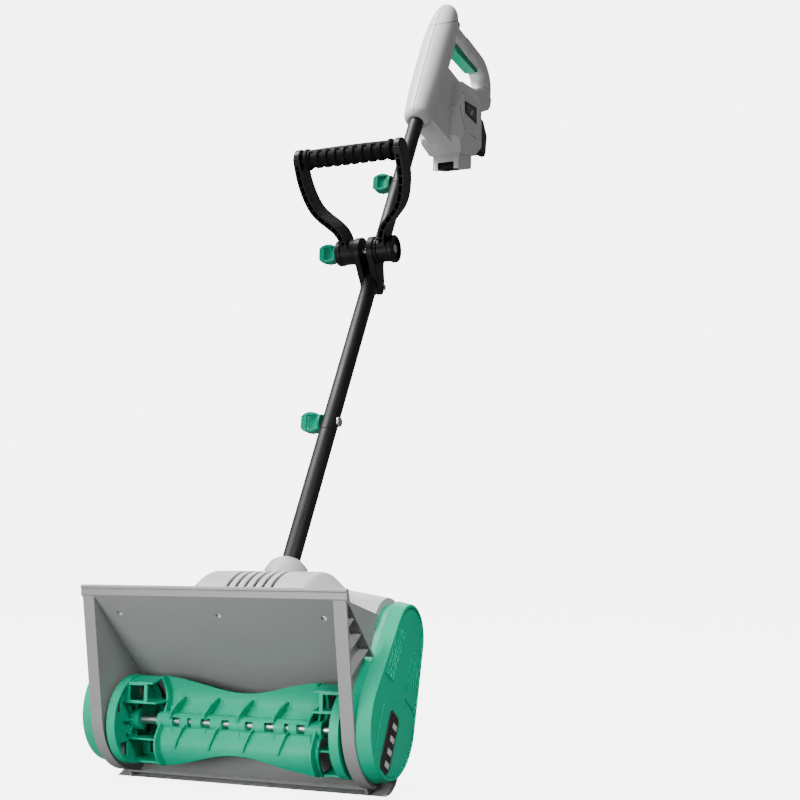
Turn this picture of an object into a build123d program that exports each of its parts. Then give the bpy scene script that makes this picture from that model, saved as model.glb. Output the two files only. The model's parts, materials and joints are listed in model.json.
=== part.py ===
"""Cordless snow shovel: a powered paddle rotor in a scoop on a three-piece pole, with an assist
handle and a D-grip power handle.

Frame: +X to the operator's left side seen from the mouth (the belt side), +Y from the mouth towards
the operator, +Z up. Origin: middle of the scraper's wear face on the ground. Millimetres.
"""

import os
from math import acos, atan2, cos, degrees, hypot, pi, radians, sin, tan

from build123d import *

# ---- Driving dimensions -------------------------------------------------------------------------
# Scoop, side view (y, z)
MOUTH_INNER = 139.6          # half width between the cheeks
WALL = 3.0
FLANGE_OUTER = 153.5         # half width over the cheek flanges
RIM_HALF = 155.0             # half width of the rim and the deflector plate
RIM = (-83.6, 199.0)         # where the deflector's inner face starts
PLATE_SLOPE = radians(43.7)
SCRAPER_EDGE = (-2.0, 0.0)
FLOOR_SLOPE = radians(17)
BACK_SLOPE = radians(65)
FLOOR_RADIUS = 50.0
CROOK_RADIUS = 34.0          # between the deflector and the back wall
FRONT_TOP = (-83.6, 205.0)
FRONT_LOW = (-62.9, 70.0)
CHEEK_ARC_MID = (-44.5, 29.5)
CHEEK_ARC_END = (-9.2, 8.2)
VANE_HOLE_R = 3.2
VANE_HOLE_X = 120.4
VANE_HOLE_S = 28.5           # distance of the vane holes down the deflector from its front edge
SCRAPER_HALF = 160.0

# Rotor
ROTOR = (-14.5, 64.0)        # shaft axis (y, z)
ROTOR_R = 46.8
ROTOR_WAIST = 32.5
DISC_X = 134.0
PLATE_X = 91.0               # end plates of the blades
SHELF = 19.0                 # shelf of the tip frames above the shaft
SHAFT_R = 5.0
HUB_R = 9.0
RUN = 0.05                   # running clearance on a radius
BEARING_R = 13.0
BEARING_W = 8.0
BEARING_X = 147.5

# Side covers: a teardrop round the rotor shaft and the motor shaft
TEAR_LOW = (-1.0, 72.6)
TEAR_TOP = (43.7, 152.6)
TEAR_LOW_R = 59.5
TEAR_TOP_R = 39.5
COVER_FROM = 153.9
COVER_TO = 169.0
COVER_DRAFT = 3.2
COVER_WALL = 2.4
SUNK = COVER_TO - 1.4        # plane of the sunken face
CASE_BACK = 3.0
CASE_FROM = MOUTH_INNER + WALL + 0.2
CASE_SEAT = CASE_FROM + 3.0  # the cover screws' heads sit here
COVER_SCREW_R = 1.3
COVER_SCREW_L = 18.0

# Belt drive
PULLEY_LARGE = 33.0
PULLEY_SMALL = 9.5
BELT_X = 160.0
BELT_W = 7.0
BELT_T = 2.2
SHAFT_END = 4.7              # shafts end this far past the middle of the belt
MOTOR_R = 22.0
MOTOR_FROM = 52.0
MOTOR_TO = 130.0
MOTOR_SHAFT_R = 2.5
FAN_R = 31.0

# Motor housing: radius along the motor's axis, half profile (x, r)
HOUSING = [(66.0, 69.5), (88.0, 51.5), (142.8, 42.8)]
HOUSING_WALL = 2.6

# Pole
POLE_FOOT = (92.7, 229.6)    # where the pole leaves the housing collar (y, z)
POLE_ANGLE = radians(58.93)
TUBE_R = 10.5
TUBE_WALL = 1.2
POLE_START = -50.0
JOINTS = (182.0, 600.0)      # seams along the pole
POLE_END = 800.0
SPIGOT_HALF = 36.0
BOLT_S = (197.0, 608.0)      # joint bolts along the pole
BOLT_R = 3.0
CABLE_R = 2.2
CABLE_T = 5.4                # the cable runs this far behind the pole's axis

# Assist handle
PIVOT_S = 452.0
PIVOT_T = -28.5
GRIP_DISTANCE = 127.0
GRIP_R = 13.0
ARM_T = 8.8
ARM_W = 28.0
GRIP_TOWARDS = (-0.4347, 0.9006)

# Main handle
BODY_NOSE = [(729, 13.6), (733.5, 17.6), (744, 20.4)]
BODY_PROFILE = [(744, 20.4), (775, 22.4), (855, 24.4), (925, 23.6), (955, 20.6), (977, 14.6), (986, 7.2)]
BODY_TIP = 988.0
SEAM_AT = (549.0, 1029.8)    # lower front end of the tip cap's seam (y, z)
SEAM_SLOPE = radians(24)
SHELL = 2.4
BAR_X = 16.0                 # half width of the D grip
BAR_Y = 18.0                 # half depth of the D grip
GRIP_PATH = [(566, 1040), (616, 1034), (707, 1024)]
GRIP_CORNER_R = 30.0
GRIP_FOOT = (745.0, 966.0)
BOX_X = 35.5                 # half width of the battery box
BOX_CENTRE = (0, 607.0, 892.0)
BOX_OUTLINE = [(563, 905), (584, 949), (652, 958), (666, 926), (653, 870), (638, 849), (583, 838), (557, 857)]
BOX_FRONT = [(17, 975), (35.5, 928), (35.5, 862), (25, 836)]
BOX_TOP = [(25, 555), (35.5, 569), (35.5, 648), (28, 672)]
TAIL_OUTLINE = [(594, 930), (596, 953), (652, 961), (733, 988), (762, 978), (753, 957), (714, 941), (640, 915)]
TAIL_X = 15.3
WEB_X = 17.0
BOSS_X = 21.0
SCREW_SEAT = -9.0            # heads of the shell screws sit at this X


os.makedirs("parts", exist_ok=True)


# ---- Helpers ------------------------------------------------------------------------------------
def save(name, *shapes):
    """Write one node: a single shape, or a group of separate solids."""
    solids = [solid for shape in shapes for solid in shape.solids()]
    export_step(solids[0] if len(solids) == 1 else Compound(children=solids), f"parts/{name}.step")


def yz(*points):
    """Closed polygon in the side view, points as (y, z)."""
    return Plane.YZ * make_face(Polyline(*points, close=True))


def between(face, low, high):
    """Extrude a side-view face along X from low to high."""
    return Pos(low, 0, 0) * extrude(face, amount=high - low, dir=(1, 0, 0))


def rod_x(centre, radius, low, high):
    """Cylinder along X at the side-view point centre."""
    return Pos((low + high) / 2, *centre) * Rot(0, 90, 0) * Cylinder(radius, high - low)


def ring_x(centre, outer, inner, low, high):
    return rod_x(centre, outer, low, high) - rod_x(centre, inner, low, high)


def both_sides(make):
    """The shapes that make(side) gives for the +X and the -X side."""
    return [make(side) for side in (1, -1)]


def side(shape, sign):
    """The shape as it is, or mirrored to -X."""
    return shape if sign > 0 else mirror(shape, about=Plane.YZ)


def polar(centre, radius, angle):
    return (centre[0] + radius * cos(angle), centre[1] + radius * sin(angle))


POLE = Plane(origin=(0, *POLE_FOOT), x_dir=(1, 0, 0), z_dir=(0, cos(POLE_ANGLE), sin(POLE_ANGLE)))


def on_pole(shape):
    """Place a shape drawn in pole coordinates: X, t (back), s (up the pole)."""
    return POLE.location * shape


def pole_point(s, t):
    """(y, z) of a point s up the pole and t behind its axis."""
    return (
        POLE_FOOT[0] + s * cos(POLE_ANGLE) + t * sin(POLE_ANGLE),
        POLE_FOOT[1] + s * sin(POLE_ANGLE) - t * cos(POLE_ANGLE),
    )


def pole_rod(radius, low, high, t=0):
    return on_pole(Pos(0, t, (low + high) / 2) * Cylinder(radius, high - low))


def screw(radius, head, length):
    """Pan-head screw pointing down -Z, its head's underside at z 0, with a driver recess."""
    body = Pos(0, 0, -length / 2) * Cylinder(radius, length)
    cap = Pos(0, 0, head * 0.3) * Cylinder(head, head * 0.6)
    cap = fillet(cap.edges().sort_by(Axis.Z)[-1:], head * 0.2)
    blade = Box(head * 1.2, head * 0.25, head * 0.5)
    return body + cap - Pos(0, 0, head * 0.6) * (blade + Rot(0, 0, 90) * blade)


def facing_x(shape, x, centre, sign=1):
    """Turn a screw drawn along -Z so that its head faces +X or -X."""
    return Pos(x, *centre) * Rot(0, 90 * sign, 0) * shape


# ---- Scoop --------------------------------------------------------------------------------------
def plate_point(along, out):
    """Point on the deflector, along it from its front edge and out from its inner face."""
    return (
        RIM[0] + along * cos(PLATE_SLOPE) + out * sin(PLATE_SLOPE),
        RIM[1] - along * sin(PLATE_SLOPE) + out * cos(PLATE_SLOPE),
    )


def scoop_outline(out):
    """Side view of the scoop's inside, its deflector, back and floor moved outwards by out."""
    floor = (SCRAPER_EDGE[0] + out * sin(FLOOR_SLOPE), SCRAPER_EDGE[1] - out * cos(FLOOR_SLOPE))
    run = FLOOR_RADIUS * tan((BACK_SLOPE - FLOOR_SLOPE) / 2)
    knee = (SCRAPER_EDGE[0] + run * cos(FLOOR_SLOPE), SCRAPER_EDGE[1] + run * sin(FLOOR_SLOPE))
    heel = crossing(floor, FLOOR_SLOPE, offset_back(knee, out), BACK_SLOPE)
    crook = crossing(offset_back(knee, out), BACK_SLOPE, plate_point(0, out), -PLATE_SLOPE)
    lean = atan2(FRONT_LOW[1] - FRONT_TOP[1], FRONT_LOW[0] - FRONT_TOP[0])
    top = crossing(FRONT_TOP, lean, plate_point(0, out), -PLATE_SLOPE)
    path = FilletPolyline(floor, heel, crook, top, radius=[FLOOR_RADIUS + out, CROOK_RADIUS + out])
    return path, floor, top


def offset_back(point, out):
    return (point[0] + out * sin(BACK_SLOPE), point[1] - out * cos(BACK_SLOPE))


def crossing(p, p_slope, q, q_slope):
    """Where the line through p at p_slope meets the line through q at q_slope."""
    px, pz, qx, qz = cos(p_slope), sin(p_slope), cos(q_slope), sin(q_slope)
    step = ((q[0] - p[0]) * qz - (q[1] - p[1]) * qx) / (px * qz - pz * qx)
    return (p[0] + step * px, p[1] + step * pz)


# Where the scoop's floor stops at the scraper, and where its underside would meet the ground
LIP_CUT = [(12.0, 14.0 * tan(FLOOR_SLOPE)),
           (12.0 + WALL * sin(FLOOR_SLOPE), 14.0 * tan(FLOOR_SLOPE) - WALL * cos(FLOOR_SLOPE))]
LIP_HEEL = SCRAPER_EDGE[0] + WALL / sin(FLOOR_SLOPE)


def front_edge(inset=0.0):
    """The cheek's front edge and lower arc, moved back by inset."""
    top = (FRONT_TOP[0] + inset, FRONT_TOP[1])
    low = (FRONT_LOW[0] + inset, FRONT_LOW[1] + inset * 0.15)
    mid = (CHEEK_ARC_MID[0] + inset * 0.75, CHEEK_ARC_MID[1] + inset * 0.75)
    end = (CHEEK_ARC_END[0] + inset * 0.25, CHEEK_ARC_END[1] + inset)
    return [Line(top, low), ThreePointArc(low, mid, end)], top, end


def scoop_face(out):
    """Side view of everything between the mouth and the scoop's wall."""
    path, floor, top = scoop_outline(out)
    front = [Line(top, FRONT_LOW), ThreePointArc(FRONT_LOW, CHEEK_ARC_MID, CHEEK_ARC_END)]
    return Plane.YZ * make_face(Wire([*front, Line(CHEEK_ARC_END, floor), *path.edges()]))


def deflector_wing(sign):
    """The deflector beyond the cheek, its side gusset and the ribs in front of the side case."""
    strip = yz(plate_point(0, 0), plate_point(86, 0), plate_point(86, WALL), plate_point(0, WALL + 1.5))
    wing = between(strip, MOUTH_INNER, RIM_HALF)
    gusset = between(yz(plate_point(2, 1), (-6.0, 180.7), plate_point(80, 1)), FLANGE_OUTER - 2.5, FLANGE_OUTER)
    ribs = []
    for start in (172.5, 148.5, 124.5):
        front = FRONT_TOP[0] + (FRONT_TOP[1] - start) * 0.153 + 1.0
        edges = [((front, z), crossing((front, z), radians(31), plate_point(0, 1.5), -PLATE_SLOPE))
                 for z in (start, start - 2.4)]
        rib = yz(edges[0][0], edges[0][1], edges[1][1], edges[1][0])
        ribs.append(between(rib, MOUTH_INNER + WALL - 0.5, FLANGE_OUTER - 0.5))
    shape = wing + gusset
    for rib in ribs:
        shape += rib
    return side(shape, sign)


def cheek(sign):
    wall = between(scoop_face(WALL), MOUTH_INNER, MOUTH_INNER + WALL)
    outer, top, end = front_edge()
    inner, inner_top, inner_end = front_edge(WALL)
    strip = make_face(Wire([*outer, Line(end, inner_end), *inner, Line(inner_top, top)]))
    flange = between(Plane.YZ * strip, MOUTH_INNER, FLANGE_OUTER)
    boss = rod_x(ROTOR, 17.0, MOUTH_INNER - 1.0, MOUTH_INNER + WALL)
    bore = rod_x(ROTOR, SHAFT_R + 1.5, MOUTH_INNER - 2, MOUTH_INNER + 5)
    return side(wall + flange + boss - bore, sign)


def scoop_housing():
    half = MOUTH_INNER + 0.5
    body = between(scoop_face(WALL), -half, half) - between(scoop_face(0), -half - 1, half + 1)
    rim = between(yz(RIM, (RIM[0], 205.6), (RIM[0] - 1.4, 206.4), (RIM[0] - 1.4, 208.2), (RIM[0] + 1.0, 209.6),
                     (-79.8, 209.6), plate_point(9, WALL * 0.8), plate_point(7, 0)), -RIM_HALF, RIM_HALF)
    body += rim
    for sign in (1, -1):
        body += cheek(sign)
        body += deflector_wing(sign)
    lip = yz((-12.0, 6.2), (LIP_CUT[0][0] - 0.6, 6.2), *LIP_CUT, (14.0, -5.0), (-12.0, -5.0))
    body -= between(lip, -MOUTH_INNER, MOUTH_INNER)
    body -= Pos(0, 0, -5.0) * Box(4 * SCRAPER_HALF, 60.0, 10.0)
    # Three holes for a snow vane
    for x in (-VANE_HOLE_X, 0, VANE_HOLE_X):
        y, z = plate_point(VANE_HOLE_S, WALL / 2)
        body -= Pos(x, y, z) * Rot(-degrees(PLATE_SLOPE), 0, 0) * Cylinder(VANE_HOLE_R, 30)
    return body


def scraper_blade():
    """Flat wear plate that carries the floor on to the ground, its ends curled up behind the cheeks."""
    half = MOUTH_INNER + WALL
    path = [(-2.0, 0.0), (6.0, 0.0), (13.2, 0.9), (24.6, 7.2), (31.5, 15.8), (27.5, 17.6), (20.5, 10.2), (-2.0, 0.6)]
    strip = between(yz(*path), -SCRAPER_HALF, SCRAPER_HALF) - between(scoop_face(WALL), -half, half)
    return strip + between(yz(SCRAPER_EDGE, *LIP_CUT, (LIP_HEEL, 0)), -MOUTH_INNER, MOUTH_INNER)


# ---- Side cases and covers ----------------------------------------------------------------------
def loop_face(low, low_r, top, top_r):
    """Flat outline round two circles and their outer tangents."""
    away = atan2(top[1] - low[1], top[0] - low[0])
    lean = acos((low_r - top_r) / hypot(top[0] - low[0], top[1] - low[1]))
    low_front, low_back = polar(low, low_r, away + lean), polar(low, low_r, away - lean)
    top_front, top_back = polar(top, top_r, away + lean), polar(top, top_r, away - lean)
    return make_face(Wire([
        Line(low_front, top_front),
        ThreePointArc(top_front, polar(top, top_r, away), top_back),
        Line(top_back, low_back),
        ThreePointArc(low_back, polar(low, low_r, away + pi), low_front),
    ]))


def teardrop(grow=0.0):
    """Side view of the cover."""
    return Plane.YZ * loop_face(TEAR_LOW, TEAR_LOW_R + grow, TEAR_TOP, TEAR_TOP_R + grow)


def cover_solid(grow, low, high, draft):
    """Drafted teardrop block between two X positions."""
    return loft([Pos(low, 0, 0) * teardrop(grow), Pos(high, 0, 0) * teardrop(grow - draft)])


def cover_screw_places():
    top, low = TEAR_TOP_R - 10.5, TEAR_LOW_R - 10.5
    return [polar(TEAR_TOP, top, radians(100)), polar(TEAR_TOP, top, radians(-25)),
            polar(TEAR_LOW, low, radians(140)), polar(TEAR_LOW, low, radians(-80))]


def cover_relief():
    """Raised panels and parallel ribs on the cover's sunken face."""
    lower = [(-47.5, 50), (-29, 86), (-24, 93.5), (-4.3, 98.4), (3, 91), (27, 88), (31, 84), (48, 76), (51.8, 70),
             (70, 40), (40, 0), (-40, 0), (-70, 40)]
    upper = [(95, 139.5), (48.3, 136.6), (44.7, 132.7), (31.6, 93), (35, 89.5), (49.5, 80.6), (54, 71.5), (95, 71.5)]
    relief = between(yz(*lower), SUNK, SUNK + 0.7) + between(yz(*upper), SUNK, SUNK + 0.7)
    for k in range(5):
        foot, head = (-21.7 + 5.0 * k, 124.9 - 2.3 * k), (10.0 + 5.1 * k, 168.6 - 1.7 * k)
        rib = yz(foot, head, (head[0] + 2.3, head[1] - 0.9), (foot[0] + 2.3, foot[1] - 1.1))
        relief += between(rib, SUNK, SUNK + 1.0)
    for k in range(4):
        y = 51.9 + 6.2 * k
        relief += between(yz((y - 9.5, 100), (y, 131), (y + 1.8, 131), (y - 7.7, 100)), SUNK, SUNK + 1.2)
    return relief & cover_solid(-7.2, SUNK, COVER_TO, 0.01)


def cover_label():
    """Plain slanted label on the belt cover's lower panel."""
    outline = [(-4.3, 86.5), (11.1, 75.8), (11.1, 69.2), (-12.5, 27.7), (-20.8, 24.7), (-34.5, 34.3), (-33.2, 41.8),
               (-9.3, 84.2)]
    return between(yz(*outline), SUNK + 0.7, SUNK + 1.2)


def side_cover(sign):
    """Green cover: drafted teardrop shell with a lip, a sunken relief face and four blind screw posts."""
    shell = cover_solid(0, COVER_FROM, COVER_TO, COVER_DRAFT)
    rim_edges = shell.faces().sort_by(Axis.X)[-1].edges()
    shell = fillet(rim_edges, 1.2)
    shell -= cover_solid(-COVER_WALL, COVER_FROM - 1, COVER_TO - COVER_WALL - 1.4, COVER_DRAFT)
    shell -= Pos(SUNK, 0, 0) * extrude(teardrop(-COVER_DRAFT - 3.2), amount=5, dir=(1, 0, 0))
    shell += cover_relief()
    for place in cover_screw_places():
        shell += rod_x(place, 4.2, COVER_FROM, COVER_TO - 2.0)
        shell -= rod_x(place, COVER_SCREW_R, COVER_FROM - 1, CASE_SEAT + COVER_SCREW_L + 0.5)
    return side(shell, sign)


def side_case(sign):
    """Tray between the cheek and the cover that holds the bearing, open towards the cover."""
    low = CASE_FROM
    tray = between(teardrop(-4.0), low, COVER_FROM - 0.2)
    tray -= between(teardrop(-6.4), low + CASE_BACK, COVER_FROM + 1)
    tray += rod_x(ROTOR, BEARING_R + 3.0, low, BEARING_X + BEARING_W / 2)
    tray -= rod_x(ROTOR, BEARING_R, BEARING_X - BEARING_W / 2, COVER_FROM)
    tray -= rod_x(ROTOR, SHAFT_R + 1.5, low - 1, COVER_FROM)
    for place in cover_screw_places():
        tray += rod_x(place, 5.0, low, COVER_FROM - 0.2)
        tray -= rod_x(place, COVER_SCREW_R, low, COVER_FROM)
        tray -= rod_x(place, 3.6, low - 1, CASE_SEAT)
    if sign > 0:
        tray -= rod_x(TEAR_TOP, PULLEY_SMALL + 2.5, low - 1, COVER_FROM)
    return side(tray, sign)


def cover_screws():
    """Screws from behind the cases into the covers' posts, their heads sunk in the cases."""
    return [side(facing_x(screw(COVER_SCREW_R, 3.2, COVER_SCREW_L), CASE_SEAT, place, -1), sign)
            for sign in (1, -1) for place in cover_screw_places()]


# ---- Rotor --------------------------------------------------------------------------------------
def blade_line(z):
    """Depth of the S-shaped blade at height z above the shaft: hollow side forward above it."""
    return 12.0 * sin(pi * z / ROTOR_R)


def blade_face(half):
    steps = [ROTOR_R * (k / 8 - 1) for k in range(17)]
    front = [(blade_line(z) - half, z) for z in steps]
    back = [(blade_line(z) + half, z) for z in reversed(steps)]
    return Plane.YZ * make_face(Wire([Spline(*front), Line(front[-1], back[0]), Spline(*back),
                                      Line(back[-1], front[0])]))


def spool():
    """Hourglass envelope of the rotor."""
    rise = ROTOR_R - ROTOR_WAIST
    points = [(x, ROTOR_R - rise * (0.5 + 0.5 * cos(pi * min(abs(x) / 100.0, 1.0)))) for x in range(-100, 101, 20)]
    edge = Spline(*[(x, r, 0) for x, r in points], tangents=[(1, 0, 0), (1, 0, 0)])
    rest = [Line((100, ROTOR_R, 0), (DISC_X, ROTOR_R, 0)), Line((DISC_X, ROTOR_R, 0), (DISC_X, 0, 0)),
            Line((DISC_X, 0, 0), (-DISC_X, 0, 0)), Line((-DISC_X, 0, 0), (-DISC_X, ROTOR_R, 0)),
            Line((-DISC_X, ROTOR_R, 0), (-100, ROTOR_R, 0))]
    return revolve(make_face(Wire([edge, *rest])), Axis.X, 360)


def fin(x, up):
    """Slanted cross fin in the hollow of a blade, drawn for the upper blade's front."""
    profile = [(-8.5, 1.0), (-12.0, 12.0), (-6.0, 20.0), (4.0, 25.5), (12.0, 27.0), (10.0, 10.0), (4.0, 3.0)]
    shape = Pos(-0.9, 0, 0) * extrude(yz(*profile), amount=1.8, dir=(1, 0, 0))
    if not up:
        low = [(-8.5, -1.0), (-14.5, -6.0), (-17.0, -18.0), (-15.5, -27.0), (-10.5, -30.0), (-8.0, -12.0), (-4.0, -4.0)]
        shape = Pos(-0.9, 0, 0) * extrude(yz(*low), amount=1.8, dir=(1, 0, 0))
    return Pos(x, 0, 0) * Rot(0, 20, 0) * shape


def end_disc(sign):
    """Disc with a rim skirt, four openings, a boss and star ribs."""
    disc = rod_x((0, 0), ROTOR_R, DISC_X - 1.2, DISC_X + 1.2)
    disc += ring_x((0, 0), ROTOR_R, ROTOR_R - 2.2, DISC_X - 9.0, DISC_X)
    opening = yz((9, 23), (24, 23), (20, 36), (9, 39))
    for turn in (0, 90, 180, 270):
        disc -= Rot(turn, 0, 0) * between(opening, DISC_X - 4, DISC_X + 4)
    disc += rod_x((0, 0), 11.0, DISC_X - 14.0, DISC_X + 1.2)
    for turn in range(0, 360, 45):
        disc += Rot(turn, 0, 0) * between(yz((9, -0.9), (21, -0.9), (21, 0.9), (9, 0.9)), DISC_X - 6.0, DISC_X)
    return side(disc, sign)


def tip_frame():
    """Open frame that ties a blade tip to the +X disc: shelf, window frame and tip bar."""
    shelf = between(yz((-21.5, SHELF), (9.0, SHELF), (9.0, SHELF + 2), (-21.5, SHELF + 2)), PLATE_X, DISC_X)
    window = between(yz((-21.5, SHELF), (-19.5, SHELF), (-19.5, 41.5), (-21.5, 41.5)), 102.0, DISC_X)
    window -= Pos(115.0, -20.5, SHELF + 11) * Box(18.0, 6.0, 16.0)
    tip = between(yz((-21.5, 39.5), (0, 44.0), (0, 46.2), (-21.5, 41.5)), PLATE_X + 4, DISC_X)
    return shelf + window + tip


def rotor_paddle():
    """Two-blade hourglass paddle with a windowed hub tube, cross fins, end plates and discs."""
    envelope = spool()
    blade = between(blade_face(1.3), -PLATE_X - 6, PLATE_X + 6) & envelope
    hub = rod_x((0, 0), HUB_R, -98, 98)
    shape = blade + hub
    for x in (-82, -41, 0, 41, 82):
        shape += fin(x, True)
        shape += Rot(180, 0, 0) * fin(x, True)
    for x in (-61.5, -20.5, 20.5, 61.5):
        shape += fin(x, False)
        shape += Rot(180, 0, 0) * fin(x, False)
    for sign in (1, -1):
        plate = between(blade_face(9.5), PLATE_X, PLATE_X + 2.2) & envelope
        shape += side(plate, sign)
        shape += end_disc(sign)
        for turn in (0, 180):
            shape += side(Rot(turn, 0, 0) * tip_frame(), sign)
    for x, width in ((74.3, 9), (57.9, 5), (37.9, 11), (14.2, 9)):
        for sign in (1, -1):
            shape -= Pos(sign * x, 0, 0) * Box(width, 40, 9.5)
    shape -= rod_x((0, 0), SHAFT_R, -DISC_X - 5, DISC_X + 5)
    # Outside the hub and the discs the shaft is bare
    for sign in (1, -1):
        low, high = sorted((sign * 98.0, sign * (DISC_X - 14.0)))
        shape -= rod_x((0, 0), SHAFT_R + 2.5, low, high)
    return Pos(0, *ROTOR) * shape


def rotor_shaft():
    """Drive shaft with a flat for the pulley and chamfered ends."""
    shaft = rod_x(ROTOR, SHAFT_R, -BEARING_X - 8.0, BELT_X + SHAFT_END)
    return chamfer(shaft.edges(), 0.6)


def shaft_retainers():
    """Retaining rings outside the bearings."""
    return [ring_x(ROTOR, SHAFT_R + 2.5, SHAFT_R, BEARING_X + BEARING_W / 2 + 0.2, BEARING_X + BEARING_W / 2 + 1.4),
            ring_x(ROTOR, SHAFT_R + 2.5, SHAFT_R, -BEARING_X - BEARING_W / 2 - 1.4, -BEARING_X - BEARING_W / 2 - 0.2)]


def bearing_outer(sign):
    low, high = BEARING_X - BEARING_W / 2, BEARING_X + BEARING_W / 2
    ring = ring_x(ROTOR, BEARING_R, 9.6, low, high)
    for x in (low + 1.0, high - 1.6):
        ring += ring_x(ROTOR, 9.8, 8.2, x, x + 0.6)
    return side(ring, sign)


def bearing_inner(sign):
    return side(ring_x(ROTOR, 8.0, SHAFT_R, BEARING_X - BEARING_W / 2, BEARING_X + BEARING_W / 2), sign)


# ---- Drive --------------------------------------------------------------------------------------
def pulley(centre, radius, bore, width=9.0):
    """Flanged pulley at the belt's plane with lightening holes on a large one."""
    low, high = BELT_X - width / 2, BELT_X + width / 2
    shape = rod_x(centre, radius, low, high)
    shape += rod_x(centre, radius + 2.0, low, low + 0.8) + rod_x(centre, radius + 2.0, high - 0.8, high)
    if radius > 20:
        shape -= ring_x(centre, radius - 4, bore + 6, low + 3, high + 1)
        for k in range(6):
            shape -= rod_x(polar(centre, (radius + bore) / 2 + 1, k * pi / 3), 4.0, low - 1, high)
    return shape - rod_x(centre, bore, low - 5, high + 5)


def drive_belt():
    """Belt loop, a hair clear of both pulleys."""
    gap = 0.15
    outer, inner = [loop_face(ROTOR, PULLEY_LARGE + extra, TEAR_TOP, PULLEY_SMALL + extra)
                    for extra in (gap + BELT_T, gap)]
    return between(Plane.YZ * (outer - inner), BELT_X - BELT_W / 2, BELT_X + BELT_W / 2)


def motor_can():
    can = rod_x(TEAR_TOP, MOTOR_R, MOTOR_FROM, MOTOR_TO)
    can = fillet(can.edges(), 2.5)
    can += rod_x(TEAR_TOP, 8.5, MOTOR_TO - 1, MOTOR_TO + 4)
    for k in range(4):
        can -= rod_x(polar(TEAR_TOP, 14, pi / 4 + k * pi / 2), 3.0, MOTOR_TO - 4, MOTOR_TO + 5)
        can -= rod_x(polar(TEAR_TOP, 14, k * pi / 2), 1.85, MOTOR_TO - 6, MOTOR_TO + 1)
    return can - rod_x(TEAR_TOP, MOTOR_SHAFT_R + RUN, MOTOR_FROM - 5, MOTOR_TO + 9)


def motor_end_bell():
    bell = ring_x(TEAR_TOP, MOTOR_R - 1, MOTOR_SHAFT_R + RUN, MOTOR_FROM - 6, MOTOR_FROM)
    for angle in (0, pi):
        bell += rod_x(polar(TEAR_TOP, 15, angle), 1.6, MOTOR_FROM - 9, MOTOR_FROM - 5)
    return bell


def motor_mount():
    """Steel plate between the motor's face and the housing ends."""
    plate = ring_x(TEAR_TOP, 38.5, 8.7, MOTOR_TO, MOTOR_TO + 2.5)
    for k in range(4):
        plate -= rod_x(polar(TEAR_TOP, 14, k * pi / 2), 1.9, MOTOR_TO - 1, MOTOR_TO + 3)
    return plate


def mount_screws():
    return [facing_x(screw(1.85, 3.4, 7.0), MOTOR_TO + 2.5, polar(TEAR_TOP, 14, k * pi / 2)) for k in range(4)]


def motor_shaft():
    return rod_x(TEAR_TOP, MOTOR_SHAFT_R, MOTOR_FROM - 26, BELT_X + SHAFT_END)


def cooling_fan():
    hub = ring_x(TEAR_TOP, 7.0, MOTOR_SHAFT_R, MOTOR_FROM - 25, MOTOR_FROM - 11)
    fan = hub + ring_x(TEAR_TOP, FAN_R - 2, 6.0, MOTOR_FROM - 12.5, MOTOR_FROM - 11)
    blade = Pos(MOTOR_FROM - 18, TEAR_TOP[0], TEAR_TOP[1] + 18) * Rot(0, 0, 0) * Box(12, 1.6, 23)
    for k in range(9):
        fan += Pos(0, *TEAR_TOP) * Rot(40 * k, 0, 0) * Pos(0, -TEAR_TOP[0], -TEAR_TOP[1]) * blade
    return fan


# ---- Motor housing ------------------------------------------------------------------------------
def housing_solid(inset):
    """Humped body round the motor, its wall moved in by inset."""
    profile = [(-x, r - inset) for x, r in reversed(HOUSING)] + [(x, r - inset) for x, r in HOUSING]
    ends = [(HOUSING[-1][0] - inset, 0), (-HOUSING[-1][0] + inset, 0)]
    profile = [(max(min(x, ends[0][0]), ends[1][0]), r) for x, r in profile]
    face = make_face(Polyline(*[(x, r, 0) for x, r in profile + ends], close=True))
    corners = [v for v in face.vertices() if abs(abs(v.X) - 66) < 0.1 or abs(abs(v.X) - 88) < 0.1]
    face = fillet(corners, 12.0)
    return Pos(0, *TEAR_TOP) * revolve(face, Axis.X, 360)


def collar(radius_gain, low):
    """Conical collar round the pole's foot."""
    profile = [(0, low), (27.0 + radius_gain, low), (25.5 + radius_gain, -14), (22.0 + radius_gain, -5.0),
               (16.0 + radius_gain, 0.5), (0, 0.5)]
    face = Plane.XZ * make_face(Polyline(*profile, close=True))
    return on_pole(revolve(face, Axis.Z, 360))


def skirt(inset):
    """Lower body that joins the hump to the scoop's back."""
    outline = [(-40 + inset, 175), (20, 152.6), (112 - inset, 150), (100 - inset, 112 + inset), (66, 84 + inset),
               (36, 90 + inset), (-5, 118)]
    return between(yz(*outline), -84 + inset, 84 - inset)


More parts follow.
